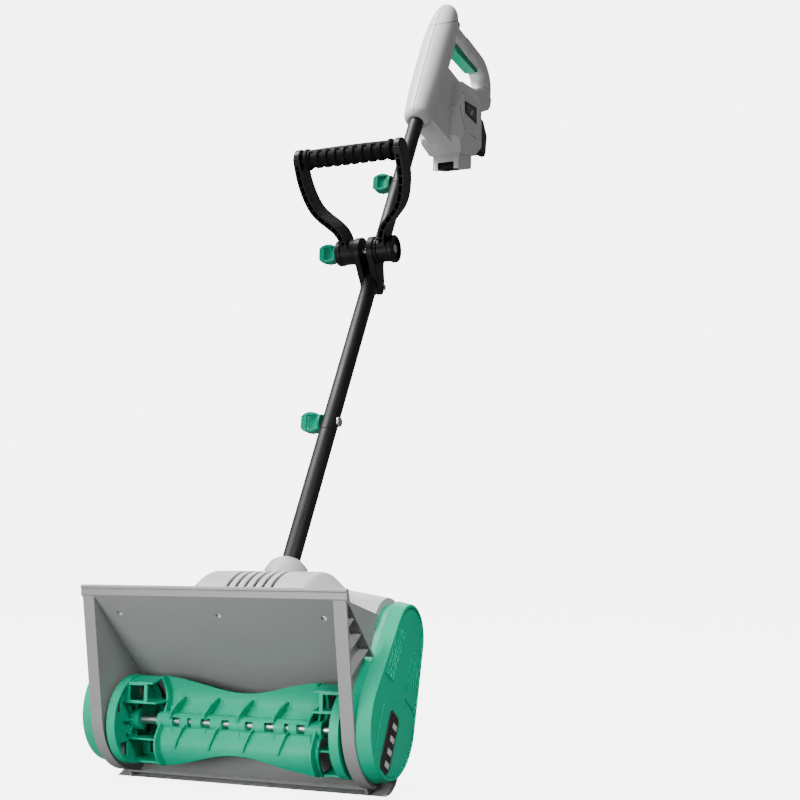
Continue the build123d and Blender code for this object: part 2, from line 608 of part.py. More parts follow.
def motor_housing_whole():
    """Front and rear together: hollow, with vents, the pole's collar and sockets, clear of the scoop."""
    outside = housing_solid(0) + collar(0, -75) + skirt(0)
    inside = housing_solid(HOUSING_WALL) + skirt(HOUSING_WALL)
    body = outside - inside
    body += ring_pole(TUBE_R + 3.0, TUBE_R, POLE_START - 2, -2)
    keep_out = between(scoop_face(WALL + 0.1), -MOUTH_INNER - WALL, MOUTH_INNER + WALL)
    body -= keep_out
    body -= pole_rod(TUBE_R, POLE_START - 1, 60)
    for sign in (1, -1):
        low, high = sorted((sign * (MOTOR_TO + 2.6), sign * (HOUSING[-1][0] + 1)))
        body -= rod_x(TEAR_TOP, 30.0, low, high)
    for k in range(6):
        x = 10.8 * (k - 2.5)
        slot = between(yz((TEAR_TOP[0] - 2, TEAR_TOP[1] + 55), (TEAR_TOP[0] - 2, TEAR_TOP[1] + 75),
                          (TEAR_TOP[0] - 52, TEAR_TOP[1] + 75), (TEAR_TOP[0] - 52, TEAR_TOP[1] + 44)), x - 2.2, x + 2.2)
        body -= slot - rod_x(TEAR_TOP, 63.0, x - 3, x + 3)
    return body


def ring_pole(outer, inner, low, high):
    return pole_rod(outer, low, high) - pole_rod(inner, low - 1, high + 1)


def housing_parts():
    """Split at the plane of the pole into the scoop's motor housing and the rear cover."""
    whole = motor_housing_whole()
    cut = on_pole(Pos(0, 300 + 0.05, 0) * Box(600, 600, 900))
    rear = whole & cut
    front = whole - on_pole(Pos(0, 300 - 0.05, 0) * Box(600, 600, 900))
    return biggest(front), biggest(rear)


def biggest(shape):
    return max(shape.solids(), key=lambda solid: solid.volume)


# ---- Pole ---------------------------------------------------------------------------------------
def tube(low, high, bolt_s=None):
    shape = ring_pole(TUBE_R, TUBE_R - TUBE_WALL, low, high)
    if bolt_s is not None:
        shape -= rod_x(pole_point(bolt_s, 0), BOLT_R + 0.1, -20, 20)
    return shape


def spigot(seam, bolt_s):
    """Inner sleeve across a joint, with a raised bead where the tubes meet."""
    sleeve = ring_pole(TUBE_R - TUBE_WALL - 0.02, TUBE_R - TUBE_WALL - 1.6, seam - SPIGOT_HALF, seam + SPIGOT_HALF)
    return sleeve - rod_x(pole_point(bolt_s, 0), BOLT_R + 0.1, -20, 20)


def joint_bolt(s):
    """Carriage bolt through the pole, its domed head on the belt side."""
    centre = pole_point(s, 0)
    shank = rod_x(centre, BOLT_R, -27.0, 12.0)
    head = rod_x(centre, 6.2, TUBE_R + 0.1, TUBE_R + 3.6)
    return shank + fillet(head.edges().sort_by(Axis.X)[-1:], 2.4)


def thumb_knob(centre, lean, start):
    """Squat wing with a thumb pocket each side, on a round foot; it sits on the -X side."""
    upper = [(-1.5, 9.0), (-8.0, 12.0), (-15.0, 12.8), (-22.0, 11.0), (-26.0, 7.5)]
    lower = [(x, -z) for x, z in reversed(upper)]
    wing = extrude(Plane.XZ * make_face(Polyline(*upper, *lower, close=True)), amount=7.5, both=True)
    wing = fillet(wing.faces().sort_by(Axis.Y)[0].edges() + wing.faces().sort_by(Axis.Y)[-1].edges(), 1.0)
    for face in (1, -1):
        wing -= Pos(-11.5, face * 13.2, 0) * Cylinder(9.0, 17.0)
    foot = Pos(-1.0, 0, 0) * Rot(0, 90, 0) * Cylinder(10.2, 2.0)
    knob = wing + foot - Pos(-10.0, 0, 0) * Rot(0, 90, 0) * Cylinder(BOLT_R + RUN, 24.0)
    return Pos(start, *centre) * Rot(lean, 0, 0) * knob


# ---- Assist handle ------------------------------------------------------------------------------
PIVOT = pole_point(PIVOT_S, PIVOT_T)
HANDLE = Plane(origin=(0, *PIVOT), x_dir=(1, 0, 0), z_dir=(0, *GRIP_TOWARDS))
EAR = (5.5, 14.0)            # X of the clamp's ears
HUB = (18.0, 34.0)           # X of the handle's hubs
BOSS_END = 41.0
BOLT_HEAD_X = 35.6
TAIL = pole_point(PIVOT_S - 24, 3.0)
CLAMP_S = PIVOT_S - 22       # place of the clamp screw along the pole
CLAMP_T = TUBE_R + 9.0


def on_handle(shape):
    """Place a shape drawn in handle coordinates: X, depth, distance from the pivot to the grip."""
    return HANDLE.location * shape


def clamp_half(sign):
    """Half of the split clamp: a teardrop plate from the pivot down past the pole, and a lug behind it."""
    plate = between(Plane.YZ * loop_face(TAIL, 10.0, PIVOT, 18.5), EAR[0], EAR[1])
    plate = fillet(plate.edges().group_by(Axis.X)[-1], 1.6)
    sleeve = ring_pole(TUBE_R + 3.5, TUBE_R, CLAMP_S - 12, CLAMP_S + 10)
    sleeve = sleeve & on_pole(Pos(50.6, 50, CLAMP_S) * Box(100, 100, 100))
    lug = on_pole(Pos(4.6, CLAMP_T - 1.0, CLAMP_S) * Box(8.0, 12.0, 16.0))
    shape = plate + sleeve + lug
    shape -= pole_rod(TUBE_R + 0.2, PIVOT_S - 100, PIVOT_S + 100)
    shape -= rod_x(PIVOT, BOLT_R + RUN, 0, 40)
    shape -= rod_x(pole_point(CLAMP_S, CLAMP_T), 2.1, 0, 40)
    # Weight-saving hollows in the ear's outer face
    for angle in (0.9, 2.2, 3.5, 4.8):
        shape -= rod_x(polar(PIVOT, 11.0, angle), 2.2, EAR[1] - 2.0, EAR[1] + 1)
    return side(shape, sign)


def clamp_screw():
    """Screw and nut that draw the two clamp halves together behind the pole."""
    centre = pole_point(CLAMP_S, CLAMP_T)
    head = rod_x(centre, 3.8, -11.3, -8.7) - rod_x(centre, 1.7, -12, -9.9)
    nut = Pos(10.3, *centre) * Rot(0, 90, 0) * extrude(RegularPolygon(4.0, 6), amount=1.5, both=True)
    return rod_x(centre, 2.0, -8.8, 12.2) + head + nut


def pivot_spacer():
    """Steel tube that keeps the two ears apart."""
    return ring_x(PIVOT, 5.2, BOLT_R + RUN, -EAR[0] + 0.05, EAR[0] - 0.05)


def serrated_washer(sign, low, high, phase):
    """Face-toothed ring between an ear and the handle's hub."""
    ring = ring_x(PIVOT, 17.0, BOLT_R + 0.5, low, high)
    for k in range(24):
        ring -= rod_x(polar(PIVOT, 17.2, (k + phase) * pi / 12), 0.9, low - 1, high + 1)
    return side(ring, sign)


def pivot_bolt():
    """Long bolt through both hubs and both ears, its hexagon head in the +X hub."""
    shank = rod_x(PIVOT, BOLT_R, -62.0, BOLT_HEAD_X)
    head = Pos(BOLT_HEAD_X, *PIVOT) * Rot(0, 90, 0) * extrude(RegularPolygon(6.0, 6), amount=4.0)
    return shank + head


def arm_line(sign):
    """Centre line of one arm in handle coordinates (x, d)."""
    points = [(25.8, -2), (26.5, 12), (30.0, 26), (41.0, 40), (56.0, 55), (66.0, 77), (70.3, 104), (70.0, 132)]
    return [(sign * x, d) for x, d in points]


def arm(sign):
    """S-curved channel arm, open towards the front, with cross ribs in the channel."""
    outer, inner = [], []
    path = Spline(*arm_line(1))
    for k in range(13):
        at = k / 12
        p, n = path @ at, path % at
        outer.append((p.X + n.Y * ARM_T / 2, p.Y - n.X * ARM_T / 2))
        inner.append((p.X - n.Y * ARM_T / 2, p.Y + n.X * ARM_T / 2))
    solid = strap(outer, inner, -ARM_W / 2, ARM_W / 2)
    wall = 2.2
    trough_outer, trough_inner = [], []
    for k in range(13):
        at = 0.10 + 0.84 * k / 12
        p, n = path @ at, path % at
        trough_outer.append((p.X + n.Y * (ARM_T / 2 - wall), p.Y - n.X * (ARM_T / 2 - wall)))
        trough_inner.append((p.X - n.Y * (ARM_T / 2 - wall), p.Y + n.X * (ARM_T / 2 - wall)))
    trough = strap(trough_outer, trough_inner, -ARM_W / 2 - 1, ARM_W / 2 - 3.0)
    for k in range(11):
        p = path @ (0.14 + 0.76 * k / 10)
        n = path % (0.14 + 0.76 * k / 10)
        bar = Pos(p.X, 0, p.Y) * Rot(0, -degrees(atan2(n.Y, n.X)), 0) * Box(1.4, ARM_W, ARM_T)
        trough -= bar
    return on_handle(side(solid - trough, sign))


def strap(outer, inner, low, high):
    """Strip between two curves in the X-d plane, from depth low to high."""
    wire = Wire([Spline(*outer), Line(outer[-1], inner[-1]), Spline(*reversed(inner)), Line(inner[0], outer[0])])
    face = Plane.XZ * make_face(wire)
    return Pos(0, low, 0) * extrude(face, amount=high - low, dir=(0, 1, 0))


def assist_frame():
    """U frame: two arms, hubs at the pivot and a round bar under the grip sleeve."""
    bar = on_handle(Pos(0, 0, GRIP_DISTANCE) * Rot(0, 90, 0) * Cylinder(8.0, 134.0))
    shape = arm(1) + arm(-1) + bar
    for sign in (1, -1):
        cap = on_handle(Pos(sign * 70.2, 0, GRIP_DISTANCE) * Rot(0, 90, 0) * Cylinder(ARM_W / 2, ARM_T))
        cap = fillet(cap.edges(), 1.5)
        hub = side(fillet(rod_x(PIVOT, 16.0, *HUB).edges(), 1.2), sign)
        shape = shape + cap + hub
    shape += fillet(rod_x(PIVOT, 18.0, HUB[1], BOSS_END).edges(), 1.5)
    shape -= rod_x(PIVOT, 13.5, BOSS_END - 2.6, BOSS_END + 1)
    shape += fillet(rod_x(PIVOT, 17.0, -BOSS_END, -HUB[1] + 1).edges(), 1.5)
    shape -= Pos(BOLT_HEAD_X - 0.1, *PIVOT) * Rot(0, 90, 0) * extrude(RegularPolygon(6.1, 6), amount=8.0)
    shape -= rod_x(PIVOT, BOLT_R, -60, 60)
    inner_gap = HUB[0] - 0.1
    return shape - rod_x(PIVOT, 24.0, -inner_gap, inner_gap)


def grip_sleeve():
    """Ribbed grip with a collar at each end."""
    half = 60.5
    sleeve = Rot(0, 90, 0) * Cylinder(GRIP_R - 1.4, 2 * half)
    for k in range(9):
        x = (k - 4) * 12.6
        rib = Pos(x, 0, 0) * Rot(0, 90, 0) * Cylinder(GRIP_R, 8.0)
        sleeve += fillet(rib.edges(), 1.2)
    for sign in (1, -1):
        sleeve += Pos(sign * (half - 1.75), 0, 0) * Rot(0, 90, 0) * Cylinder(GRIP_R + 1.0, 3.5)
    sleeve -= Rot(0, 90, 0) * Cylinder(8.02, 200)
    return on_handle(Pos(0, 0, GRIP_DISTANCE) * sleeve)


# ---- Main handle --------------------------------------------------------------------------------
def body_solid(inset):
    """Round body on the pole's axis with a domed tip."""
    foot, tip = BODY_NOSE[0][0], BODY_TIP - inset
    nose = ThreePointArc(*[(r - inset, 0, s) for s, r in BODY_NOSE])
    edge = Spline(*[(r - inset, 0, s) for s, r in BODY_PROFILE[:-1]], (0, 0, tip), tangents=[(0.06, 0, 1), (-1, 0, 0)])
    axis = [Line((0, 0, tip), (0, 0, foot)), Line((0, 0, foot), (BODY_NOSE[0][1] - inset, 0, foot))]
    face = make_face(Wire([nose, edge, *axis]))
    solid = on_pole(revolve(face, Axis.Z, 360))
    if inset:
        solid -= on_pole(Pos(0, 0, foot + 6.0 - 50) * Box(100, 100, 100))
    return solid


def grip_solid(inset):
    """D grip: elliptical bar back from the body, round a corner and down to the box."""
    path = FilletPolyline(*[(0, y, z) for y, z in GRIP_PATH], (0, 752, 1018), (0, *GRIP_FOOT),
                          radius=GRIP_CORNER_R)
    start = Plane(origin=path @ 0, x_dir=(1, 0, 0), z_dir=path % 0)
    return sweep(start * Ellipse(BAR_X - inset, BAR_Y - inset), path=path)


def drawn_in(points, inset):
    """Flat outline through the points, its edges moved inwards by inset."""
    flat = make_face(Polyline(*points, close=True))
    return offset(flat, amount=-inset, kind=Kind.INTERSECTION) if inset else flat


def slab(points, half, inset):
    """Side-view outline through the points, out to half on both sides, all moved in by inset."""
    return between(Plane.YZ * drawn_in(points, inset), -half + inset, half - inset)


def both_halves(points):
    """Symmetric outline from its +X half."""
    return [*points, *[(-x, y) for x, y in reversed(points)]]


def box_solid(inset):
    """Faceted battery box: its side, front and top outlines cut one block."""
    side_view = slab(BOX_OUTLINE, BOX_X + 1, inset)
    front_view = Plane.XZ * drawn_in(both_halves(BOX_FRONT), inset)
    top_view = drawn_in(both_halves(BOX_TOP), inset)
    return side_view & Pos(0, 900, 0) * extrude(front_view, amount=400) & Pos(0, 0, 800) * extrude(top_view, amount=200)


def tail_solid(inset):
    """Ridge that carries the box's top back to the foot of the D grip."""
    tail = slab(TAIL_OUTLINE, TAIL_X, inset)
    return chamfer([e for e in tail.edges() if abs(abs(e.center().X) - TAIL_X + inset) < 0.1], 4.5 - inset)


def web_solid(inset):
    """Web between the round body and the box."""
    return slab([pole_point(742, 4), pole_point(860, 4), (604, 956), (600, 900), (566, 850)], WEB_X, inset)


def boss_solid(inset):
    """Lower boss of the box."""
    return slab([(588, 855), (585, 815), (641, 828), (643, 857)], BOSS_X, inset)


def handle_whole():
    """Hollow power handle before it is split."""
    outside = body_solid(0) + grip_solid(0) + box_solid(0) + tail_solid(0) + web_solid(0) + boss_solid(0)
    inside = body_solid(SHELL) + grip_solid(SHELL) + box_solid(SHELL) + tail_solid(SHELL) + web_solid(SHELL)
    shape = outside - inside
    posts = ring_pole(TUBE_R + 2.4, TUBE_R, 740, POLE_END)
    for place in shell_screw_places():
        posts += rod_x(place, 3.8, -30, 30)
    posts += rod_x(TRIGGER_PIN, 4.0, -30, -9.4) + rod_x(TRIGGER_PIN, 4.0, 9.4, 30)
    shape += posts & outside
    shape -= pole_rod(TUBE_R, 700, POLE_END)
    shape -= rod_x(TRIGGER_PIN, 2.0, -12.5, 12.5)
    for place in shell_screw_places():
        shape -= rod_x(place, 1.4, SCREW_SEAT - 1, SCREW_SEAT + 13)
        shape -= rod_x(place, 3.2, -40, SCREW_SEAT)
    # Room for the trigger, the lock-off button, the dock and the boss insert
    shape -= between(yz((606, 1027), (606, 1000), (710, 992), (710, 1021)), -9.2, 9.2)
    shape -= Pos(0, LOCK_Y, 1046) * Box(11.2, 11.2, 30)
    shape -= battery_dock_block(0.2)
    shape -= between(yz((590, 846), (587, 810), (638, 822), (640, 848)), -15.0, 15.0)
    shape -= between(yz((580, 825), (580, 810), (592, 812), (592, 828)), -13.0, 13.0)
    return shape


def cap_cut():
    """Half space above the tip cap's seam, up to the D grip's start."""
    plane = Plane(origin=(0, *SEAM_AT), x_dir=(1, 0, 0), z_dir=(0, -sin(SEAM_SLOPE), cos(SEAM_SLOPE)))
    return plane.location * Pos(0, 40, 100) * Box(200, 160, 200)


def handle_parts():
    whole = handle_whole()
    cap = biggest(whole & cap_cut())
    rest = whole - cap_cut()
    right = biggest(rest & Pos(100.02, 600, 900) * Box(200, 600, 500))
    left = biggest(rest & Pos(-100.02, 600, 900) * Box(200, 600, 500))
    return cap, left, right


TRIGGER_PIN = (701.0, 1012.5)
LOCK_Y = 629.5


def trigger():
    """Paddle trigger under the D grip, hinged at its rear end."""
    profile = [(609, 1021), (608.5, 1010), (613, 1007.5), (650, 1005), (694, 1002.5), (703, 1004.5), (706.5, 1009),
               (706, 1015.5), (701, 1018), (690, 1019)]
    block = between(yz(*profile), -8.8, 8.8)
    block = fillet(block.edges().filter_by(Axis.X).sort_by(Axis.Z)[:3], 1.5)
    hollow = between(yz((613, 1025), (613, 1013), (650, 1010.5), (690, 1007.5), (690, 1025)), -6.4, 6.4)
    return block - hollow - rod_x(TRIGGER_PIN, 2.0 + RUN, -20, 20)


def trigger_pin():
    return rod_x(TRIGGER_PIN, 2.0, -12.5, 12.5)


def trigger_spring():
    """Plain sleeve that stands for the trigger's compression spring."""
    return Pos(0, 628, 1021.5) * (Cylinder(3.2, 5.0) - Cylinder(2.2, 6.0))


def lock_button():
    """Sliding lock-off button on top of the D grip."""
    stem = Pos(0, LOCK_Y, 1048) * Box(10.8, 10.8, 15.0)
    pad = Pos(0, LOCK_Y, 1059.0) * fillet(Box(13.0, 13.0, 8.0).edges().filter_by(Axis.Z), 2.5)
    pad = fillet(pad.faces().sort_by(Axis.Z)[-1].edges(), 1.5)
    return stem + pad


def soft_grip():
    """Soft strip over the top and back of the D grip."""
    skin = grip_solid(-1.2) - grip_solid(-0.05)
    region = between(yz((654, 1036), (742, 1030), (757, 985), (800, 985), (800, 1080), (654, 1080)), -12, 12)
    return biggest(skin & region)


def battery_dock_block(grow):
    """Outer block of the dock, or the room it needs in the shells."""
    outline = [(648 - grow, 914 + grow), (672, 916 + grow), (692, 893), (684, 858 - grow), (640 - grow, 853 - grow)]
    block = between(yz(*outline), -31.0 - grow, 31.0 + grow)
    return chamfer([e for e in block.edges() if abs(abs(e.center().X) - 31.0 - grow) < 0.1], 4.0)


def battery_dock():
    """Black dock behind the box: base with two rails that a battery pack slides onto from below."""
    dock = battery_dock_block(0)
    dock -= between(yz((672, 905), (705, 905), (705, 840), (664, 840)), -22.0, 22.0)
    for sign in (1, -1):
        low, high = sorted((sign * 18.5, sign * 22.5))
        dock += between(yz((678, 904), (683, 904), (676, 864), (671, 864)), low, high)
    return dock


def dock_terminals():
    """Contact blades standing in the dock."""
    return [Pos(x, 672.0 + 4.0, 886) * Box(1.2, 8.0, 16.0) for x in (-12.0, -6.0, 0.0, 6.0, 12.0)]


def boss_insert():
    """Dark insert with a slot in the box's lower boss."""
    insert = between(yz((591, 845), (588.5, 817.5), (637, 828.5), (639, 847)), -14.8, 14.8)
    return insert - between(yz((596, 832), (593, 812), (632, 821), (634, 832)), -12.0, 12.0)


def label_frame():
    """Plain raised label on the box's +X side."""
    outline = yz((575, 914), (624, 918), (624, 893), (577, 896))
    return between(outline, BOX_X + 0.05, BOX_X + 1.0)


def control_board():
    board = Pos(0, 600, 890) * Box(44.0, 1.6, 40.0)
    board += Pos(-10, 603.2, 895) * Box(12.0, 6.0, 12.0)
    return board + Pos(10, 604.2, 882) * Rot(90, 0, 0) * Cylinder(5.0, 8.0)


def trigger_switch():
    return Pos(0, 640, 1030) * Box(9.0, 24.0, 9.0) + Pos(0, 630, 1025.5) * Box(3.0, 6.0, 3.0)


def power_cable():
    """Cable inside the pole from the handle to the motor, behind the joint bolts."""
    return pole_rod(CABLE_R, POLE_START - 4, POLE_END + 14, CABLE_T)


def shell_screw_places():
    return [pole_point(770, -13), pole_point(880, -15), (585, 935), (612, 866), (738, 1000)]


def shell_screws():
    return [facing_x(screw(1.4, 3.0, 12.0), SCREW_SEAT, place, -1) for place in shell_screw_places()]


# ---- Write every node ---------------------------------------------------------------------------
def write_scoop():
    save("scoop_housing", scoop_housing())
    save("scraper_blade", scraper_blade())
    for name, sign in (("belt", 1), ("left", -1)):
        save(f"{name}_case", side_case(sign))
        save(f"{name}_cover", side_cover(sign))
    save("cover_label", cover_label())
    save("cover_screws", *cover_screws())
    front, rear = housing_parts()
    save("motor_housing", front)
    save("rear_cover", rear)


def write_drive():
    save("rotor_paddle", rotor_paddle())
    save("rotor_shaft", rotor_shaft())
    save("shaft_retainers", *shaft_retainers())
    save("bearing_outer_races", *both_sides(bearing_outer))
    save("bearing_inner_races", *both_sides(bearing_inner))
    save("rotor_pulley", pulley(ROTOR, PULLEY_LARGE, SHAFT_R))
    save("motor_pulley", pulley(TEAR_TOP, PULLEY_SMALL, MOTOR_SHAFT_R))
    save("drive_belt", drive_belt())
    save("motor_can", motor_can())
    save("motor_end_bell", motor_end_bell())
    save("motor_mount", motor_mount())
    save("mount_screws", *mount_screws())
    save("motor_shaft", motor_shaft())
    save("cooling_fan", cooling_fan())


def write_pole():
    save("lower_tube", tube(POLE_START, JOINTS[0]))
    save("middle_tube", tube(JOINTS[0], JOINTS[1], BOLT_S[0]))
    save("upper_tube", tube(JOINTS[1], POLE_END, BOLT_S[1]))
    for name, seam, s in (("lower", JOINTS[0], BOLT_S[0]), ("upper", JOINTS[1], BOLT_S[1])):
        save(f"{name}_spigot", spigot(seam, s))
        save(f"{name}_joint_bolt", joint_bolt(s))
        save(f"{name}_joint_knob", thumb_knob(pole_point(s, 0), -8, -TUBE_R - 0.6))
    save("power_cable", power_cable())


def write_assist_handle():
    save("clamp_left", clamp_half(-1))
    save("clamp_right", clamp_half(1))
    save("clamp_screw", clamp_screw())
    save("clamp_washers", *[serrated_washer(sign, 14.05, 15.9, 0.0) for sign in (1, -1)])
    save("handle_washers", *[serrated_washer(sign, 16.05, 17.9, 0.5) for sign in (1, -1)])
    save("pivot_bolt", pivot_bolt())
    save("pivot_spacer", pivot_spacer())
    save("pivot_knob", thumb_knob(PIVOT, 0, -41.4))
    save("assist_frame", assist_frame())
    save("grip_sleeve", grip_sleeve())


def write_main_handle():
    cap, left, right = handle_parts()
    save("tip_cap", cap)
    save("handle_shell_left", left)
    save("handle_shell_right", right)
    save("shell_screws", *shell_screws())
    save("soft_grip", soft_grip())
    save("trigger", trigger())
    save("trigger_pin", trigger_pin())
    save("trigger_spring", trigger_spring())
    save("lock_button", lock_button())
    save("trigger_switch", trigger_switch())
    save("control_board", control_board())
    save("battery_dock", battery_dock())
    save("dock_terminals", *dock_terminals())
    save("boss_insert", boss_insert())
    save("label_frame", label_frame())


write_scoop()
write_drive()
write_pole()
write_assist_handle()
write_main_handle()
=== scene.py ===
"""Looks for the cordless snow shovel: camera, studio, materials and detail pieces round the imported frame."""

import json
from math import cos, pi, radians, sin

import bmesh
import bpy
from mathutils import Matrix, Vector
from mathutils.bvhtree import BVHTree


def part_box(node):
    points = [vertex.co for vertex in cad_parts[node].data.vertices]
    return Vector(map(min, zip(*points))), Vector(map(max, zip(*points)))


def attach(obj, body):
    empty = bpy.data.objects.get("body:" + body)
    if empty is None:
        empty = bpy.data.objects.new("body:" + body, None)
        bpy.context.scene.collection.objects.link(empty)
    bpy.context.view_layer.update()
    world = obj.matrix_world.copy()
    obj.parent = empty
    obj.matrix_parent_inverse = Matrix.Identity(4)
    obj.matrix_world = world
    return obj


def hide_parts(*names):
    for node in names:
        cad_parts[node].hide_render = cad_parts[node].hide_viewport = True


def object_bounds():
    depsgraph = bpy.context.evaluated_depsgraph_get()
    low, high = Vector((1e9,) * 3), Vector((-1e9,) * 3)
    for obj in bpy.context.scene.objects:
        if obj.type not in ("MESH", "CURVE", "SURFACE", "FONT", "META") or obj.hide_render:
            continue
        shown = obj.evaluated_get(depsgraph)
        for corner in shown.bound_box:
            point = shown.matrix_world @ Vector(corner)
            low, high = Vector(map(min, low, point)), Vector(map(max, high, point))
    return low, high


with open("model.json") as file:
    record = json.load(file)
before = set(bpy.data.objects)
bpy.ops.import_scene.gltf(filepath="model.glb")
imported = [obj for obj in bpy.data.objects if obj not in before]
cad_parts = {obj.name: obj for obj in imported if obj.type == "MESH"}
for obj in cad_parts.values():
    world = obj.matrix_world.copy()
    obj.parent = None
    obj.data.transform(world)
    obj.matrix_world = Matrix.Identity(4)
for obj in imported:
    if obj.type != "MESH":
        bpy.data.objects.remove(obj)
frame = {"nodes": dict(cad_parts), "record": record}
START_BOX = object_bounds()
NODES = frame["nodes"]
MM = 0.001


# ---- Camera ------------------------------------------------------------------------------------
CAMERA_AT = Vector((0.7107, -1.2531, 0.2563))
CAMERA_YAW = radians(23.146)
CAMERA_PITCH = radians(6.0)
CAMERA_LENS = 59.86


def add_camera():
    data = bpy.data.cameras.new("camera")
    data.lens = CAMERA_LENS
    camera = bpy.data.objects.new("camera", data)
    camera.location = CAMERA_AT
    camera.rotation_euler = (pi / 2 + CAMERA_PITCH, 0, CAMERA_YAW)
    bpy.context.scene.collection.objects.link(camera)
    bpy.context.scene.camera = camera


add_camera()


# ---- Studio ------------------------------------------------------------------------------------
# Strength for what the camera sees directly, and for the light given to the object.
WORLD_SEEN = 6.0
WORLD_GIVEN = 0.23
FLOOR_SEEN = 5.9
FLOOR_GIVEN = 0.0

FLOOR_GREY = 0.14
FLOOR_ROUGHNESS = 0.9
FLOOR_REACH = 400.0
FLOOR_GAP = 0.0002

# Name, place, target, size in metres, power in watts, spread in degrees.
LIGHTS = [
    ("key", (-1.2, -0.2, 3.0), (0, 0.3, 0.6), 1.0, 170, 180),
    ("left", (-1.9, -0.4, 2.1), (0, 0.5, 0.9), 0.8, 30, 180),
    ("front", (-0.2, -0.95, 0.13), (0, 0.0, 0.10), 0.5, 4.6, 100),
    ("fill", (0.6, -0.55, 0.75), (0.17, 0, 0.12), 0.3, 1.25, 60),
    ("rim", (-0.9, 2.2, 1.9), (0, 0.4, 0.8), 1.2, 26, 180),
]


def add_light(name, place, target, size, power, spread):
    data = bpy.data.lights.new(name, "AREA")
    data.spread = radians(spread)
    data.energy = power
    data.size = size
    lamp = bpy.data.objects.new(name, data)
    lamp.location = place
    lamp.rotation_euler = (Vector(target) - Vector(place)).to_track_quat("-Z", "Y").to_euler()
    bpy.context.scene.collection.objects.link(lamp)


def only_seen(nodes, links, seen, given):
    """A strength of seen for what the camera looks at directly, and of given for the light cast."""
    path = nodes.new("ShaderNodeLightPath")
    node = nodes.new("ShaderNodeMapRange")
    links.new(path.outputs["Is Camera Ray"], node.inputs["Value"])
    node.inputs["To Min"].default_value = given
    node.inputs["To Max"].default_value = seen
    return node.outputs["Result"]


def add_world():
    world = bpy.data.worlds.new("studio")
    world.use_nodes = True
    tree = world.node_tree
    background = tree.nodes["Background"]
    background.inputs["Color"].default_value = (1.0, 1.0, 1.0, 1.0)
    strength = only_seen(tree.nodes, tree.links, WORLD_SEEN, WORLD_GIVEN)
    tree.links.new(strength, background.inputs["Strength"])
    bpy.context.scene.world = world


def add_floor():
    mesh = bpy.data.meshes.new("floor")
    corners = [(x * FLOOR_REACH, y * FLOOR_REACH, 0) for x, y in ((-1, -1), (1, -1), (1, 1), (-1, 1))]
    mesh.from_pydata(corners, [], [(0, 1, 2, 3)])
    floor = bpy.data.objects.new("floor", mesh)
    floor.location.z = START_BOX[0].z - FLOOR_GAP
    bpy.context.scene.collection.objects.link(floor)
    material = bpy.data.materials.new("floor_paper")
    material.use_nodes = True
    nodes, links = material.node_tree.nodes, material.node_tree.links
    shader = nodes["Principled BSDF"]
    shader.inputs["Base Color"].default_value = (FLOOR_GREY, FLOOR_GREY, FLOOR_GREY, 1)
    shader.inputs["Roughness"].default_value = FLOOR_ROUGHNESS
    shader.inputs["Emission Color"].default_value = (1, 1, 1, 1)
    links.new(only_seen(nodes, links, FLOOR_SEEN, FLOOR_GIVEN), shader.inputs["Emission Strength"])
    mesh.materials.append(material)


add_world()
for light in LIGHTS:
    add_light(*light)
add_floor()


# ---- Materials ---------------------------------------------------------------------------------
# Most of a noise texture's values lie between these.
NOISE_LOW = 0.3
NOISE_HIGH = 0.7
# Cosine of the turn between flat and rounded normal where an edge starts, and where it is full.
EDGE_START = 0.995
EDGE_FULL = 0.86


